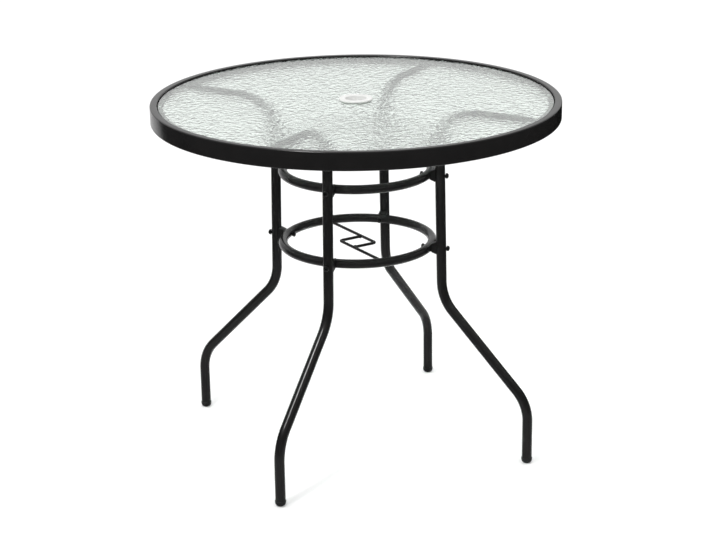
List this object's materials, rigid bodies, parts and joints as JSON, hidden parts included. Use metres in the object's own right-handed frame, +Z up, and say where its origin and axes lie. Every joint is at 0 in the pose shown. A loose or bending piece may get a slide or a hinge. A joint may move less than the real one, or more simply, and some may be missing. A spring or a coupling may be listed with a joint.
{
  "type": "umbrella table",
  "caption": "Round outdoor umbrella table: rippled glass in a black steel rim, bent tube legs bolted to two ring braces, and a rod guide for the umbrella pole.",
  "frame": {"origin": "the table's centre line, on the floor that the feet stand on", "axes": "+Z up; +X from the centre towards the upright of leg 1, +Y towards the upright of leg 2"},
  "size_m": [0.8, 0.8, 0.7123],
  "materials": {
    "powder_coat": "black powder coat, semi-gloss",
    "rippled_glass": "tempered glass with a rippled underside, faintly green",
    "pale_plastic": "translucent off-white, satin",
    "black_plastic": "moulded black, matte",
    "black_zinc": "black zinc plate",
    "clear_rubber": "clear soft pad"
  },
  "bodies": {
    "root": {"rim": "powder_coat", "glass_top": "rippled_glass", "grommet": "pale_plastic", "grommet_clamp_ring": "pale_plastic", "upper_ring": "powder_coat", "lower_ring": "powder_coat", "holder_rod_a": "powder_coat", "holder_rod_b": "powder_coat", "leg_1": "powder_coat", "leg_2": "powder_coat", "leg_3": "powder_coat", "leg_4": "powder_coat", "foot_cap_1": "black_plastic", "foot_cap_2": "black_plastic", "foot_cap_3": "black_plastic", "foot_cap_4": "black_plastic", "rim_tab_1": "powder_coat", "rim_tab_2": "powder_coat", "rim_tab_3": "powder_coat", "rim_tab_4": "powder_coat", "arm_screw_1": "black_zinc", "arm_screw_2": "black_zinc", "arm_screw_3": "black_zinc", "arm_screw_4": "black_zinc", "upper_spacer_1": "black_plastic", "upper_spacer_2": "black_plastic", "upper_spacer_3": "black_plastic", "upper_spacer_4": "black_plastic", "lower_spacer_1": "black_plastic", "lower_spacer_2": "black_plastic", "lower_spacer_3": "black_plastic", "lower_spacer_4": "black_plastic", "upper_bolt_1": "black_zinc", "upper_bolt_2": "black_zinc", "upper_bolt_3": "black_zinc", "upper_bolt_4": "black_zinc", "lower_bolt_1": "black_zinc", "lower_bolt_2": "black_zinc", "lower_bolt_3": "black_zinc", "lower_bolt_4": "black_zinc", "upper_nut_1": "black_zinc", "upper_nut_2": "black_zinc", "upper_nut_3": "black_zinc", "upper_nut_4": "black_zinc", "lower_nut_1": "black_zinc", "lower_nut_2": "black_zinc", "lower_nut_3": "black_zinc", "lower_nut_4": "black_zinc", "glass_pad_1": "clear_rubber", "glass_pad_2": "clear_rubber", "glass_pad_3": "clear_rubber", "glass_pad_4": "clear_rubber", "glass_pad_5": "clear_rubber", "glass_pad_6": "clear_rubber", "glass_pad_7": "clear_rubber", "glass_pad_8": "clear_rubber"}
  },
  "joints": []
}
